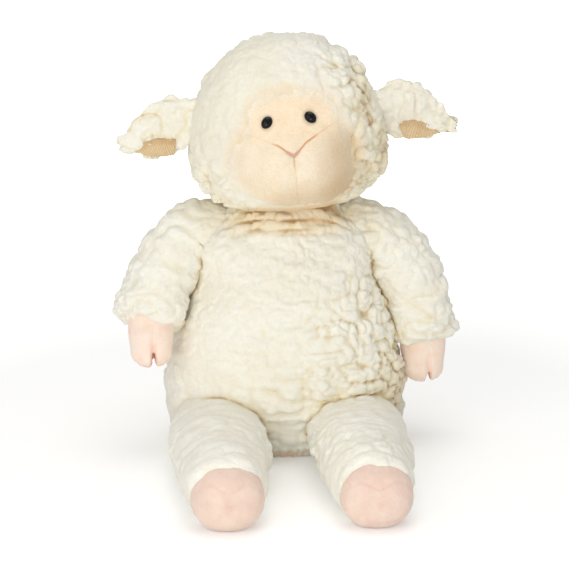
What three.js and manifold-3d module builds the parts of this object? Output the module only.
// A sitting plush sheep: curly fleece over stuffing, with velour hooves and feet, a short-pile
// face, safety eyes, lined ears and a bag of beads in the seat.
// Millimetres and degrees, +Z up. The toy sits on z = 0 and faces -Y. Its left-hand pieces, in
// a view from the front, are at -X.
import * as THREE from "three";
import { mergeVertices } from "three/addons/utils/BufferGeometryUtils.js";
import Module from "manifold-3d";

const wasm = await Module();
wasm.setup();

// Clearances and cloth
const seamGap = 0.3; // between two sewn panels, and between cloth and what it holds
const stuffingEase = 1; // more room round stuffing, whose facets are coarser than the cloth's
const rootClearance = 0.3; // round the ball that each limb turns on
const turnClearance = 1.2; // round the rest of a limb, wherever it turns to
const fleece = 5; // fleece cloth with its curly pile
const velour = 2; // velour of the hooves and feet
const faceRecess = 2; // the short pile of the face lies this far below the fleece
const flattening = 0.5; // soft undersides are pressed flat by this much
const overrun = 20; // how far a cutting solid runs past what it cuts

// Body
const bodyHeight = 168; // floor to neck seam
const bodyWidth = 162;
const bellyReach = 66; // from the neck's axis forward to the belly
const backReach = 60; // from the neck's axis back to the back
const seatPanelHeight = 8;
const beadBagWidth = 48;
const beadBagHeight = 22;
const beadBagSetback = 21;
const tailLength = 26;
const tailWidth = 18;
const tailReach = 13;
const tailHeight = 34;

// Head
const headWidth = 132;
const headCrownHeight = 75; // widest level up to the top
const headJawHeight = 44; // widest level down to the chin
const headDepth = 116;
const headLevel = 204; // floor to the widest level
const headForward = 3;
const headShift = 2;
const headRoll = 6.5; // the head leans to its -X side
const muzzleReach = 13;
const muzzleWidth = 76;
const muzzleHeight = 58;
const muzzleDrop = 9;

// Face, measured from the middle of the head's widest level
const faceTop = 44;
const faceBottom = 33;
const faceWidth = 82;
const mouthLevel = 5;
const mouthRise = 17;
const mouthHalfWidth = 34;
const noseWidth = 11;
const noseHeight = 6;
const noseProud = 1.2;
const eyeSpacing = 28;
const eyeLevel = 26;
const eyeWidth = 6.6;
const eyeHeight = 7.6;
const eyeBulge = 3;
const eyeStemDiameter = 2.4;
const eyeStemLength = 6;
const washerDiameter = 10;
const washerThickness = 1.4;

// Ears
const earLength = 49;
const earHeight = 38;
const earThickness = 15;
const earLevels = { left: 26, right: 21.5 }; // above the head's widest level
const earInset = 8; // the ear's pivot lies this far inside the head's half width
const earDroops = { left: 13, right: 22 };
const earLining = 2;
const earDown = 20;
const earUp = 30;

// Arms, measured from the shoulder's pivot with the arm hanging
const shoulderHeight = 145;
const shoulderSpacing = 96;
const armReaches = { left: 43, right: 46 }; // outward from pivot to cuff
const armDrops = { left: 58, right: 70 }; // down from pivot to cuff
const armThickness = 45;
const cuffRound = 6;
const armSwings = { left: 30, right: 8 }; // how far forward each arm rests, in degrees
const armForward = 60;
const armBack = 10;
const hoofLength = 35; // past the cuff
const hoofWidth = 31;
const hoofThickness = 23;
const hoofHidden = 12; // inside the cuff
const hoofCleftDepth = 9;
const hoofCleftWidth = 3;

// Legs
const hipHeight = 23;
const hipReaches = { left: 48.5, right: 42.5 }; // from the middle of the seat to each pivot
const hipForward = 26;
const legReach = 143; // forward from pivot to ankle
const legSpreads = { left: -1.5, right: 1.5 }; // outward from pivot to ankle
const legWidth = 63;
const legHeight = 52;
const ankleRound = 10;
const legOut = 20;
const legIn = 3;
const footLength = 22; // past the ankle
const footWidth = 42;
const footHeight = 39;
const footHidden = 14; // inside the leg
const footRound = 17;

// How finely the round forms are divided
const bodySides = 20;
const stuffingSides = 12;
const limbStuffingSides = 8;
const headRings = 11;
const headEndTurn = 84; // degrees from the head's widest ring to its last
const limbSides = 12;
const earSides = 8;
const socketSides = 14;
const arcStep = 22; // degrees
const ballTurns = [64, 32]; // degrees back from a ball's widest ring
const domeTurns = [30, 62]; // degrees on from a dome's widest ring
const limbPlaceShares = [0, 0.25, 0.5, 0.75, 1]; // where a limb's rings lie along its path
const shortPlaceShares = [0, 0.5, 1];
const domeSquareness = 0.8; // how full the end domes are, 1 for round and less for blunt
const cuffSquareness = 0.45;

// Outlines as shares. Each row is a place along the form and the share of its size there.
const bodyWidthShares = [
  [0, 0.84], [0.06, 0.95], [0.24, 1], [0.44, 0.945], [0.64, 0.775], [0.81, 0.585], [0.93, 0.49], [1, 0.42],
];
const bellyShares = [
  [0, 0.74], [0.06, 0.87], [0.26, 1], [0.46, 0.97], [0.65, 0.85], [0.82, 0.69], [0.94, 0.56], [1, 0.48],
];
const backShares = [
  [0, 0.78], [0.06, 0.91], [0.26, 1], [0.46, 0.97], [0.65, 0.87], [0.82, 0.74], [0.94, 0.6], [1, 0.52],
];
const bodyRingShares = [-0.02, 0, 0.04, 0.1, 0.2, 0.33, 0.47, 0.61, 0.74, 0.86, 0.95, 1.02];
const armPathShares = [[0, 0], [0.34, 0.09], [0.65, 0.33], [0.89, 0.69], [1, 1]]; // outward, down
const armThicknessShares = [[0, 0.97], [0.25, 1], [0.6, 1], [1, 0.96]];
const legWidthShares = [[0, 0.85], [0.3, 1], [0.65, 0.95], [1, 0.72]];
const legHeightShares = [[0, 0.78], [0.28, 0.86], [0.6, 0.98], [1, 0.86]];
const earHeightShares = [[0, 0.55], [0.25, 0.95], [0.5, 1], [0.78, 0.78], [1, 0.38]];
const earThicknessShares = [[0, 1], [0.3, 0.95], [0.6, 0.85], [1, 0.5]];
const hoofWidthShares = [[0, 0.9], [0.5, 1], [1, 0.9]];
const footShares = [[0, 0.94], [1, 1]];
const bagProfileShares = [[0.85, 0], [1, 0.4], [0.8, 0.8], [0.4, 0.97], [0, 1]];
const eyeDomeShares = [[1, 0], [0.92, 0.4], [0.7, 0.75], [0.38, 0.94], [0, 1]];
// The lining's outline: shares of the ear's length, and of half its height up or down.
const liningShares = [[0.2, -0.1], [0.35, -1.2], [0.93, -1.2], [0.93, -0.25], [0.75, 0.05], [0.45, 0.1]];
const liningMiddleShare = 0.5;
const liningLevelShare = -0.5;
// Half of the face's outline from its top to its bottom: shares of half the width, and of the
// height above the head's middle or below it.
const faceOutlineShares = [
  [0.2, 1], [0.44, 0.93], [0.66, 0.76], [0.83, 0.5], [0.95, 0.24], [1, 0], [0.97, -0.4], [0.84, -0.75],
  [0.5, -0.96], [0.15, -1],
];
const mouthShares = [[0, 0], [0.13, 0.2], [0.26, 0.42], [0.6, 0.72], [1, 1]]; // outward, up
const noseOutlineShares = [[0, 0], [0.55, 0.62], [1, 1], [0.72, 1.12], [0, 0.62]];

const X = new THREE.Vector3(1, 0, 0);
const Y = new THREE.Vector3(0, 1, 0);
const Z = new THREE.Vector3(0, 0, 1);
const radians = THREE.MathUtils.degToRad;

// A smooth value at a place along a table of shares.
function shareAt(table, place) {
  const last = table.length - 1;
  const at = (i) => table[THREE.MathUtils.clamp(i, 0, last)];
  let i = 0;
  while (i < last - 1 && place > table[i + 1][0]) i += 1;
  const slope = (k) => {
    const run = at(k + 1)[0] - at(k - 1)[0];
    return (at(k + 1)[1] - at(k - 1)[1]) / run;
  };
  const run = at(i + 1)[0] - at(i)[0];
  const t = (place - at(i)[0]) / run;
  if (t < 0) return at(i)[1] + slope(i) * run * t;
  if (t > 1) return at(i + 1)[1] + slope(i + 1) * run * (t - 1);
  const ease = t * t * (3 - 2 * t);
  const leave = t * (1 - t) * (1 - t) * slope(i) * run;
  const arrive = t * t * (t - 1) * slope(i + 1) * run;
  return at(i)[1] + (at(i + 1)[1] - at(i)[1]) * ease + leave + arrive;
}

// Any closed geometry as a solid, moved by a matrix.
function solidOf(geometry, matrix = new THREE.Matrix4()) {
  const bare = geometry.clone();
  bare.deleteAttribute("normal");
  bare.deleteAttribute("uv");
  const merged = mergeVertices(bare.applyMatrix4(matrix));
  const vertProperties = merged.attributes.position.array;
  const corners = merged.index.array;
  const kept = [];
  for (let i = 0; i < corners.length; i += 3) {
    const [a, b, c] = corners.slice(i, i + 3);
    if (a !== b && b !== c && c !== a) kept.push(a, b, c);
  }
  const triVerts = new Uint32Array(kept);
  return new wasm.Manifold(new wasm.Mesh({ numProp: 3, vertProperties, triVerts }));
}

// A closed solid through rings of points, each ring counterclockwise seen from the last ring.
function ringSolid(rings, matrix = new THREE.Matrix4()) {
  const sides = rings[0].length;
  const points = rings.flat();
  const triangles = [];
  rings.slice(1).forEach((_, r) => {
    for (let i = 0; i < sides; i += 1) {
      const a = r * sides + i;
      const b = r * sides + ((i + 1) % sides);
      triangles.push(a, b, b + sides, a, b + sides, a + sides);
    }
  });
  [rings[0], rings.at(-1)].forEach((ring, end) => {
    const middle = points.length;
    const start = end * (rings.length - 1) * sides;
    points.push(ring.reduce((sum, p) => sum.add(p), new THREE.Vector3()).divideScalar(sides));
    for (let i = 0; i < sides; i += 1) {
      const edge = [start + i, start + ((i + 1) % sides)];
      triangles.push(middle, ...(end ? edge : edge.reverse()));
    }
  });
  const geometry = new THREE.BufferGeometry().setFromPoints(points);
  geometry.setIndex(triangles);
  return solidOf(geometry, matrix);
}

// A named mesh from a solid. Of the bodies that a cut leaves, it keeps the largest.
function meshOf(name, solid, look) {
  const made = largest(solid).getMesh();
  const geometry = new THREE.BufferGeometry();
  geometry.setAttribute("position", new THREE.BufferAttribute(made.vertProperties, 3));
  geometry.setIndex(new THREE.BufferAttribute(made.triVerts, 1));
  geometry.computeVertexNormals();
  const mesh = new THREE.Mesh(geometry, new THREE.MeshStandardMaterial(look));
  mesh.name = name;
  return mesh;
}

// The largest of the bodies that a cut leaves, so that no trimmed corner stays as a crumb.
function largest(solid) {
  return solid.decompose().reduce((best, s) => (s.volume() > best.volume() ? s : best));
}

function union(solids) {
  return solids.reduce((sum, s) => sum.add(s));
}

// A block between two corners.
function block(low, high, matrix) {
  const size = high.clone().sub(low);
  const centre = low.clone().add(high).divideScalar(2);
  const box = new THREE.BoxGeometry(size.x, size.y, size.z);
  return solidOf(box.translate(centre.x, centre.y, centre.z), matrix);
}

// The space beyond a level or a plane, larger than the toy.
const everywhere = bodyHeight + headCrownHeight + headJawHeight + legReach;
function beyond(axis, place, side, matrix) {
  const low = new THREE.Vector3(-everywhere, -everywhere, -everywhere);
  const high = new THREE.Vector3(everywhere, everywhere, everywhere);
  (side > 0 ? low : high)[axis] = place;
  return block(low, high, matrix);
}

// A prism along Y over an outline of x and z.
function prismAlongY(outline, fromY, toY, matrix = new THREE.Matrix4()) {
  const shape = new THREE.Shape(outline.map(([x, z]) => new THREE.Vector2(x, z)));
  const depth = toY - fromY;
  const prism = new THREE.ExtrudeGeometry(shape, { depth, bevelEnabled: false });
  return solidOf(prism.rotateX(Math.PI / 2).translate(0, toY, 0), matrix);
}

// Body

const bodySection = 2.25; // how square a level cut through the body is, 2 for an ellipse

function squared(value) {
  return Math.sign(value) * Math.abs(value) ** (2 / bodySection);
}

function bodyRing(share, inset, count) {
  const ring = [];
  for (let i = 0; i < count; i += 1) {
    const angle = (i / count) * 2 * Math.PI;
    const halfWidth = (bodyWidth / 2) * shareAt(bodyWidthShares, share) - inset;
    const depth = Math.sin(angle) < 0
      ? bellyReach * shareAt(bellyShares, share)
      : backReach * shareAt(backShares, share);
    const x = halfWidth * squared(Math.cos(angle));
    const y = (depth - inset) * squared(Math.sin(angle));
    ring.push(new THREE.Vector3(x, y, share * bodyHeight));
  }
  return ring;
}

// The body's form from a cloth's thickness over the floor up past the neck seam.
function bodyForm(inset, count = bodySides) {
  const form = ringSolid(bodyRingShares.map((share) => bodyRing(share, inset, count)));
  return form.subtract(beyond("z", Math.max(inset, 0), -1));
}

function belowNeck(solid) {
  return solid.subtract(beyond("z", bodyHeight - seamGap / 2, 1));
}

// Head

const headFrame = new THREE.Matrix4()
  .makeRotationY(-radians(headRoll))
  .setPosition(headShift, -headForward, headLevel);

const jawSection = 2.3; // the jaw is a little squarer than an ellipse

function muzzleAt(x, z) {
  const across = x / (muzzleWidth / 2);
  const up = (z + muzzleDrop) / (muzzleHeight / 2);
  return muzzleReach * Math.exp(-(across ** 4) - up ** 4);
}

function headRing(turn, inset) {
  const up = Math.sin(turn);
  const height = up > 0 ? headCrownHeight : headJawHeight;
  const z = (height - inset) * up;
  const round = up > 0 ? Math.cos(turn) : (1 - Math.abs(up) ** jawSection) ** (1 / jawSection);
  const ring = [];
  for (let i = 0; i < bodySides; i += 1) {
    const angle = (i / bodySides) * 2 * Math.PI;
    const x = (headWidth / 2 - inset) * round * Math.cos(angle);
    const flat = (headDepth / 2 - inset) * round * Math.sin(angle);
    const y = flat < 0 ? flat - muzzleAt(x, z) * Math.min(1, -Math.sin(angle) * 2) : flat;
    ring.push(new THREE.Vector3(x, y, z));
  }
  return ring;
}

// How far forward the head's surface lies at a point of the face.
function faceReach(x, z, inset) {
  const height = z > 0 ? headCrownHeight : headJawHeight;
  const across = (x / (headWidth / 2 - inset)) ** 2;
  const up = (z / (height - inset)) ** 2;
  return (headDepth / 2 - inset) * Math.sqrt(1 - across - up) + muzzleAt(x, z);
}

// The head's form in the head's own frame, down past the neck seam.
function headForm(inset) {
  const rings = [];
  const lastTurn = radians(headEndTurn);
  for (let i = 0; i <= headRings; i += 1) {
    rings.push(headRing(-lastTurn + (2 * lastTurn * i) / headRings, inset));
  }
  return ringSolid(rings);
}

function aboveNeck(solid) {
  return solid.subtract(beyond("z", bodyHeight + seamGap / 2, -1, headFrame.clone().invert()));
}

// Limbs
// Each limb is built in the frame of its joint: the pivot at the origin, and the path of its
// middle leaving it square to the way that the joint turns it.

// Rings along a limb. It starts with a ball round the pivot, if it has one, or with an open
// end, and it ends with a dome.
function limbRings(limb, inset) {
  const ringAt = (centre, along, halfAcross, halfThick) => {
    const across = limb.axis.clone().cross(along).normalize();
    const up = along.clone().cross(across).normalize();
    const ring = [];
    for (let i = 0; i < limb.sides; i += 1) {
      const angle = (i / limb.sides) * 2 * Math.PI;
      const point = centre.clone().addScaledVector(across, halfAcross * Math.cos(angle));
      ring.push(point.addScaledVector(up, halfThick * Math.sin(angle)));
    }
    return ring;
  };
  const halves = (station) => [
    (limb.across / 2) * shareAt(limb.acrossShares, station) - inset,
    (limb.thick / 2) * shareAt(limb.thickShares, station) - inset,
  ];
  const startAlong = limb.path.getTangentAt(0);
  const start = limb.path.getPointAt(0);
  const endAlong = limb.path.getTangentAt(1);
  const end = limb.path.getPointAt(1);
  const rings = [];
  if (limb.ball) {
    ballTurns.forEach((turn) => {
      const ball = limb.ball - inset;
      const centre = start.clone().addScaledVector(startAlong, -ball * Math.sin(radians(turn)));
      const half = ball * Math.cos(radians(turn));
      rings.push(ringAt(centre, startAlong, half, half));
    });
  } else {
    const centre = start.clone().addScaledVector(startAlong, -Math.abs(inset));
    rings.push(ringAt(centre, startAlong, ...halves(0)));
  }
  limb.stations.forEach((station) => {
    rings.push(ringAt(limb.path.getPointAt(station), limb.path.getTangentAt(station), ...halves(station)));
  });
  domeTurns.forEach((turn) => {
    const centre = end.clone().addScaledVector(endAlong, (limb.endRound - inset) * Math.sin(radians(turn)));
    const small = Math.cos(radians(turn)) ** limb.endSquareness;
    const [halfAcross, halfThick] = halves(1);
    rings.push(ringAt(centre, endAlong, halfAcross * small, halfThick * small));
  });
  return rings;
}

function limbSolid(limb, inset) {
  return ringSolid(limbRings(limb, inset));
}

// The stuffing under a limb's cloth.
function limbStuffing(limb, cloth) {
  return limbSolid({ ...limb, sides: limbStuffingSides }, cloth + seamGap + stuffingEase);
}

// The space that a limb takes as its joint turns it from one limit to the other. The half of
// each ring that leads goes to the far limit, the half that trails to the near one, and the
// points between them follow the arc, pushed out so that its chords lie outside the true arc.
function sweptSolid(limb, grow) {
  const [low, high] = limb.range;
  const steps = Math.ceil((high - low) / arcStep);
  const step = (low - high) / steps;
  const push = 1 / Math.cos(radians(step / 2));
  const arcOf = (point) => {
    const foot = limb.axis.clone().multiplyScalar(point.dot(limb.axis));
    const pushed = point.clone().sub(foot).multiplyScalar(push).add(foot);
    const arc = [];
    for (let k = 0; k <= steps; k += 1) {
      const from = k > 0 && k < steps ? pushed : point;
      arc.push(from.clone().applyAxisAngle(limb.axis, radians(high + step * k)));
    }
    return arc;
  };
  const ballRings = limb.ball ? ballTurns.length : 0;
  const rings = limbRings(limb, -grow).slice(ballRings).map((ring) =>
    ring.flatMap((point, i) => {
      const quarter = (4 * i) / limb.sides;
      if (quarter === 1) return arcOf(point);
      if (quarter === 3) return arcOf(point).reverse();
      const limit = quarter < 1 || quarter > 3 ? high : low;
      return [point.clone().applyAxisAngle(limb.axis, radians(limit))];
    }),
  );
  return ringSolid(rings, limb.frame);
}

// The room that a limb needs in the form that it is sewn to: a socket for its ball, and its sweep.
function roomFor(limbs, grow) {
  const [first] = limbs;
  const flats = Math.cos(Math.PI / socketSides) ** 2; // how far in a facet's middle lies
  const radius = (first.ball + rootClearance + grow) / flats;
  const socket = new THREE.SphereGeometry(radius, socketSides, socketSides / 2);
  const sweeps = limbs.map((limb) => sweptSolid(limb, turnClearance + grow));
  return union([solidOf(socket, first.frame), ...sweeps]);
}

const sideSign = { left: -1, right: 1 };
const sides = Object.keys(sideSign);

// The arm's sleeve hangs from the shoulder and turns about X.
function armSleeve(side) {
  const sign = sideSign[side];
  const points = armPathShares.map(([out, down]) =>
    new THREE.Vector3(sign * out * armReaches[side], 0, -down * armDrops[side]),
  );
  return {
    axis: X.clone().negate(),
    path: new THREE.CatmullRomCurve3(points),
    stations: limbPlaceShares,
    sides: limbSides,
    ball: (armThickness / 2) * armThicknessShares[0][1],
    across: armThickness,
    thick: armThickness,
    acrossShares: armThicknessShares,
    thickShares: armThicknessShares,
    endRound: cuffRound,
    endSquareness: cuffSquareness,
    range: [-armBack, armForward],
    frame: new THREE.Matrix4()
      .makeRotationX(-radians(armSwings[side]))
      .setPosition((sign * shoulderSpacing) / 2, 0, shoulderHeight),
  };
}

// The hoof hangs straight down out of the cuff.
function armHoof(side) {
  const out = sideSign[side] * armReaches[side];
  const top = new THREE.Vector3(out, 0, -armDrops[side] + hoofHidden);
  const tip = new THREE.Vector3(out, 0, -armDrops[side] - hoofLength + hoofThickness / 2);
  return {
    ...armSleeve(side),
    path: new THREE.LineCurve3(top, tip),
    stations: shortPlaceShares,
    ball: 0,
    across: hoofThickness,
    thick: hoofWidth,
    acrossShares: hoofWidthShares,
    thickShares: hoofWidthShares,
    endRound: hoofThickness / 2,
    endSquareness: domeSquareness,
  };
}

// The leg lies on the floor and turns outward about Z.
function legSleeve(side) {
  const sign = sideSign[side];
  const ankleHalf = (legHeight / 2) * shareAt(legHeightShares, 1);
  const ankle = new THREE.Vector3(sign * legSpreads[side], -legReach, ankleHalf - flattening - hipHeight);
  return {
    axis: Z.clone().multiplyScalar(sign),
    path: new THREE.LineCurve3(new THREE.Vector3(), ankle),
    stations: limbPlaceShares,
    sides: limbSides,
    ball: (legWidth / 2) * legWidthShares[0][1],
    across: legWidth,
    thick: legHeight,
    acrossShares: legWidthShares,
    thickShares: legHeightShares,
    endRound: ankleRound,
    endSquareness: cuffSquareness,
    range: [-legIn, legOut],
    frame: new THREE.Matrix4().setPosition(sign * hipReaches[side], -hipForward, hipHeight),
  };
}

// The foot comes out of the leg's end, low down.
function legFoot(side) {
  const sleeve = legSleeve(side);
  const back = sleeve.path.getPointAt(1).add(new THREE.Vector3(0, footHidden, 0));
  const front = back.clone().setY(-legReach - footLength + footRound);
  front.z = footHeight / 2 - flattening - hipHeight;
  return {
    ...sleeve,
    path: new THREE.LineCurve3(back, front),
    stations: shortPlaceShares,
    ball: 0,
    across: footWidth,
    thick: footHeight,
    acrossShares: footShares,
    thickShares: footShares,
    endRound: footRound,
    endSquareness: domeSquareness,
  };
}

// The ear stands out from the side of the head, in the head's frame, and turns up about Y.
function earLeaf(side) {
  const sign = sideSign[side];
  const tipRound = earThickness / 2;
  const tip = new THREE.Vector3(sign * (earLength + earInset - tipRound), 0, 0);
  return {
    axis: Y.clone().multiplyScalar(-sign),
    path: new THREE.LineCurve3(new THREE.Vector3(), tip),
    stations: limbPlaceShares,
    sides: earSides,
    ball: (earHeight / 2) * earHeightShares[0][1],
    across: earHeight,
    thick: earThickness,
    acrossShares: earHeightShares,
    thickShares: earThicknessShares,
    endRound: tipRound,
    endSquareness: domeSquareness,
    range: [-earDown, earUp],
    frame: new THREE.Matrix4()
      .makeRotationY(sign * radians(earDroops[side]))
      .setPosition(sign * (headWidth / 2 - earInset), 0, earLevels[side]),
  };
}

// What each piece looks like
const looks = {
  fleece: { color: 0xece8da, roughness: 0.95, metalness: 0 },
  shortPile: { color: 0xf3dcbf, roughness: 0.9, metalness: 0 },
  cheekPile: { color: 0xead3b2, roughness: 0.9, metalness: 0 },
  velour: { color: 0xf8dccb, roughness: 0.85, metalness: 0 },
  lining: { color: 0xd8c099, roughness: 0.9, metalness: 0 },
  thread: { color: 0xe8b9a6, roughness: 0.6, metalness: 0 },
  eye: { color: 0x080808, roughness: 0.12, metalness: 0 },
  washer: { color: 0xf2f2f2, roughness: 0.5, metalness: 0 },
  stuffing: { color: 0xf7f7f4, roughness: 1, metalness: 0 },
  bag: { color: 0xd9d6cc, roughness: 0.9, metalness: 0 },
};

// A solid of revolution about Z from a profile of radii and heights that starts and ends on Z.
function turnedSolid(profile, segments, matrix) {
  const points = profile.map(([radius, height]) => new THREE.Vector2(radius, height));
  return solidOf(new THREE.LatheGeometry(points, segments).rotateX(Math.PI / 2), matrix);
}

// Body pieces

function beadBagSolid(grow, drop) {
  const low = fleece + seamGap;
  const profile = [[0, low - drop], ...bagProfileShares.map(([radius, height]) => [
    radius * (beadBagWidth / 2 + grow),
    low + height * (beadBagHeight + grow) - (height ? 0 : drop),
  ])];
  return turnedSolid(profile, limbSides, new THREE.Matrix4().setPosition(0, beadBagSetback, 0));
}

function tailSolid() {
  const at = backReach * shareAt(backShares, tailHeight / bodyHeight);
  const round = new THREE.SphereGeometry(1, limbSides, limbSides / 2);
  round.scale(tailWidth / 2, tailReach, tailLength / 2).translate(0, at, tailHeight);
  return solidOf(round).subtract(bodyForm(-seamGap));
}

function bodyMeshes() {
  const limbs = sides.flatMap((side) => [
    [armSleeve(side), armHoof(side)],
    [legSleeve(side), legFoot(side)],
  ]);
  const without = (inset, count) => {
    const rooms = union(limbs.map((limb) => roomFor(limb, inset)));
    return largest(bodyForm(inset, count).subtract(rooms));
  };
  const skin = belowNeck(without(0)).subtract(without(fleece));
  const half = seamGap / 2;
  const above = skin.subtract(beyond("z", seatPanelHeight + half, -1));
  const behind = above.subtract(beyond("y", half, -1));
  const filled = belowNeck(without(fleece + seamGap + stuffingEase, stuffingSides));
  return [
    meshOf("body_front_panel", above.subtract(beyond("y", -half, 1)), looks.fleece),
    meshOf("body_back_panel_left", behind.subtract(beyond("x", -half, 1)), looks.fleece),
    meshOf("body_back_panel_right", behind.subtract(beyond("x", half, -1)), looks.fleece),
    meshOf("body_seat_panel", skin.subtract(beyond("z", seatPanelHeight - half, 1)), looks.fleece),
    meshOf("body_stuffing", filled.subtract(beadBagSolid(seamGap, overrun)), looks.stuffing),
    meshOf("seat_bead_bag", beadBagSolid(0, 0), looks.bag),
    meshOf("tail", tailSolid(), looks.fleece),
  ];
}

// Head pieces, in the head's frame

// The face's outline, its mouth seam with everything below, and the nose, as prisms.
function facePrism(grow) {
  const half = faceOutlineShares.map(([out, up]) => {
    const height = up > 0 ? faceTop : faceBottom;
    return [out * (faceWidth / 2 + grow), up * (height + grow)];
  });
  const mirrored = half.map(([x, z]) => [-x, z]).reverse();
  return prismAlongY([...half, ...mirrored], -headDepth, 0);
}

function mouthPrism(grow) {
  const seam = mouthShares.map(([out, up]) => [out * mouthHalfWidth, mouthLevel + up * mouthRise + grow]);
  const corner = [faceWidth, mouthLevel + 2 * mouthRise + grow];
  const half = [...seam, corner, [faceWidth, -headJawHeight]];
  const mirrored = half.slice(1).map(([x, z]) => [-x, z]).reverse();
  return prismAlongY([...half, ...mirrored], -headDepth, 0);
}

function nosePrism() {
  const half = noseOutlineShares.map(([out, up]) => [
    out * (noseWidth / 2),
    mouthLevel - noseHeight / 2 + up * noseHeight,
  ]);
  const mirrored = half.slice(1, -1).map(([x, z]) => [-x, z]).reverse();
  return prismAlongY([...half, ...mirrored], -headDepth, 0);
}

// A frame on the face with its Z along the surface's outward normal.
function faceFrameAt(x, z) {
  const reach = faceReach(x, z, faceRecess);
  const slopeX = faceReach(x + eyeWidth / 2, z, faceRecess) - faceReach(x - eyeWidth / 2, z, faceRecess);
  const slopeZ = faceReach(x, z + eyeWidth / 2, faceRecess) - faceReach(x, z - eyeWidth / 2, faceRecess);
  const outward = new THREE.Vector3(-slopeX, -eyeWidth, -slopeZ).normalize();
  const across = new THREE.Vector3().crossVectors(outward, Z).negate().normalize();
  const up = new THREE.Vector3().crossVectors(outward, across);
  return new THREE.Matrix4().makeBasis(across, up, outward).setPosition(x, -reach, z);
}

function eyeFrame(side) {
  return faceFrameAt((sideSign[side] * eyeSpacing) / 2, eyeLevel);
}

// A domed eye on its stem, a little taller than wide.
function eyeSolid(side, grow) {
  const stem = eyeStemDiameter / 2 + grow;
  const dome = eyeDomeShares.map(([out, high]) => [(out * eyeWidth) / 2, seamGap + high * eyeBulge]);
  const profile = [[0, -eyeStemLength - grow], [stem, -eyeStemLength - grow], [stem, seamGap], ...dome];
  const taller = new THREE.Matrix4().makeScale(1, eyeHeight / eyeWidth, 1);
  return turnedSolid(profile, limbSides, eyeFrame(side).multiply(taller));
}

// The washer that holds the eye's stem behind the face.
function washerSolid(side, grow) {
  const inner = ((eyeStemDiameter / 2) * eyeHeight) / eyeWidth + seamGap;
  const front = faceRecess - fleece - seamGap + grow;
  const back = front - washerThickness - 2 * grow;
  const outer = washerDiameter / 2 + grow;
  const disc = turnedSolid([[0, back], [outer, back], [outer, front], [0, front]], limbSides, eyeFrame(side));
  if (grow) return disc;
  const over = [[0, back - overrun], [inner, back - overrun], [inner, front + overrun], [0, front + overrun]];
  return disc.subtract(turnedSolid(over, limbSides, eyeFrame(side)));
}

function headGroup() {
  const group = new THREE.Group();
  const ears = sides.map((side) => earLeaf(side));
  const without = (inset) => {
    const rooms = union(ears.map((ear) => roomFor([ear], inset)));
    return largest(headForm(inset).subtract(rooms));
  };
  const half = seamGap / 2;
  const inner = without(fleece);
  const crown = aboveNeck(without(0)).subtract(inner).subtract(facePrism(half));
  const stems = union(sides.map((side) => eyeSolid(side, seamGap)));
  const face = headForm(faceRecess).subtract(inner).intersect(facePrism(-half)).subtract(stems);
  const cheeks = face.intersect(mouthPrism(-half));
  const nose = headForm(faceRecess - noseProud - seamGap).subtract(headForm(faceRecess - seamGap));
  const washers = union(sides.map((side) => washerSolid(side, seamGap)));
  const filled = aboveNeck(without(fleece + seamGap));
  group.add(
    meshOf("head_crown_left", crown.subtract(beyond("x", -half, 1)), looks.fleece),
    meshOf("head_crown_right", crown.subtract(beyond("x", half, -1)), looks.fleece),
    meshOf("face_upper_panel", face.subtract(mouthPrism(half)), looks.shortPile),
    meshOf("cheek_left", cheeks.subtract(beyond("x", -half, 1)), looks.cheekPile),
    meshOf("cheek_right", cheeks.subtract(beyond("x", half, -1)), looks.cheekPile),
    meshOf("nose_stitch", nose.intersect(nosePrism()), looks.thread),
    meshOf("head_stuffing", filled.subtract(stems).subtract(washers), looks.stuffing),
  );
  sides.forEach((side) => {
    group.add(meshOf(`eye_${side}`, eyeSolid(side, 0), looks.eye));
    group.add(meshOf(`eye_washer_${side}`, washerSolid(side, 0), looks.washer));
    group.add(earGroup(side));
  });
  group.applyMatrix4(headFrame);
  return group;
}

// The ear's lining is let into the front of the leaf, along its lower side.
function liningPrism(side, grow) {
  const outline = liningShares.map(([along, up]) => [
    sideSign[side] * (earInset + along * earLength + (along > liningMiddleShare ? grow : -grow)),
    up * (earHeight / 2) + (up > liningLevelShare ? grow : -grow),
  ]);
  return prismAlongY(side === "left" ? outline.reverse() : outline, -earHeight, 0);
}

function earGroup(side) {
  const group = new THREE.Group();
  const leaf = earLeaf(side);
  const whole = limbSolid(leaf, 0);
  const pocket = liningPrism(side, seamGap).subtract(limbSolid(leaf, earLining + seamGap));
  const lining = whole.subtract(limbSolid(leaf, earLining)).intersect(liningPrism(side, 0));
  group.add(meshOf(`ear_${side}_leaf`, whole.subtract(pocket), looks.fleece));
  group.add(meshOf(`ear_${side}_lining`, lining, looks.lining));
  group.applyMatrix4(leaf.frame);
  return group;
}

// Arm pieces, in the arm's frame

// The notch that parts the hoof's two toes.
function hoofCleft(side, grow) {
  const middle = sideSign[side] * armReaches[side];
  const tip = -armDrops[side] - hoofLength;
  const half = hoofCleftWidth / 2 + grow;
  const outline = [[middle - half, tip], [middle, tip + hoofCleftDepth + grow], [middle + half, tip]];
  const below = [[middle + half, tip - overrun], [middle - half, tip - overrun]];
  return prismAlongY([...outline, ...below], -hoofWidth, hoofWidth);
}

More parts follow.
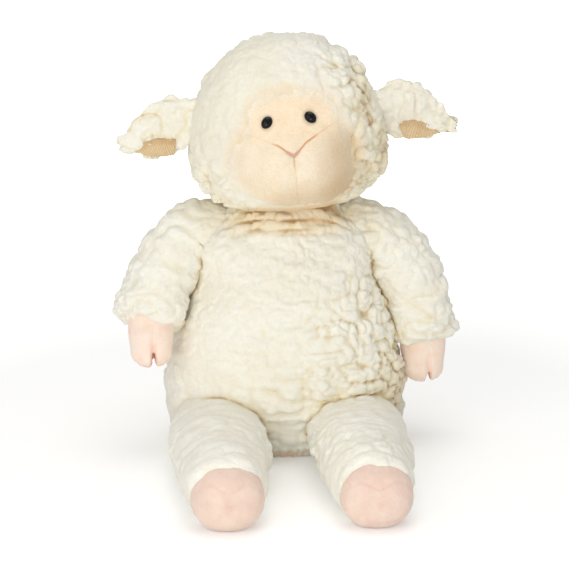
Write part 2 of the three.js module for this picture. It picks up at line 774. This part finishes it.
function armGroup(side) {
  const group = new THREE.Group();
  const sleeve = armSleeve(side);
  const hoof = armHoof(side);
  const half = seamGap / 2;
  const cloth = limbSolid(sleeve, 0).subtract(limbSolid(sleeve, fleece)).subtract(limbSolid(hoof, -seamGap));
  const shell = limbSolid(hoof, 0).subtract(hoofCleft(side, 0));
  const cavity = limbSolid(hoof, velour).subtract(hoofCleft(side, velour));
  const skin = shell.subtract(cavity);
  const above = limbStuffing(sleeve, fleece).subtract(limbSolid(hoof, -seamGap));
  const inside = limbStuffing(hoof, velour).subtract(hoofCleft(side, velour + seamGap));
  group.add(
    meshOf(`arm_${side}_sleeve`, cloth, looks.fleece),
    meshOf(`hoof_${side}_front`, skin.subtract(beyond("y", -half, 1)), looks.velour),
    meshOf(`hoof_${side}_back`, skin.subtract(beyond("y", half, -1)), looks.velour),
    meshOf(`arm_${side}_stuffing`, above.add(inside), looks.stuffing),
  );
  group.applyMatrix4(sleeve.frame);
  return group;
}

// Leg pieces, in the leg's frame

function legGroup(side) {
  const group = new THREE.Group();
  const sleeve = legSleeve(side);
  const foot = legFoot(side);
  const half = seamGap / 2;
  const under = (depth) => beyond("z", depth - hipHeight, -1);
  const sole = foot.path.getPointAt(1).y;
  const shell = limbSolid(foot, 0).subtract(limbSolid(foot, velour)).subtract(under(0));
  const cloth = limbSolid(sleeve, 0).subtract(limbSolid(sleeve, fleece)).subtract(limbSolid(foot, -seamGap));
  const above = limbStuffing(sleeve, fleece).subtract(limbSolid(foot, -seamGap));
  const inside = limbStuffing(foot, velour).subtract(under(velour + seamGap));
  group.add(
    meshOf(`leg_${side}_sleeve`, cloth.subtract(under(0)), looks.fleece),
    meshOf(`foot_${side}_upper`, shell.subtract(beyond("y", sole + half, -1)), looks.velour),
    meshOf(`foot_${side}_sole`, shell.subtract(beyond("y", sole - half, 1)), looks.velour),
    meshOf(`leg_${side}_stuffing`, above.add(inside), looks.stuffing),
  );
  group.applyMatrix4(sleeve.frame);
  return group;
}

const toy = new THREE.Group();
toy.add(...bodyMeshes(), headGroup());
sides.forEach((side) => toy.add(armGroup(side), legGroup(side)));

export default toy;
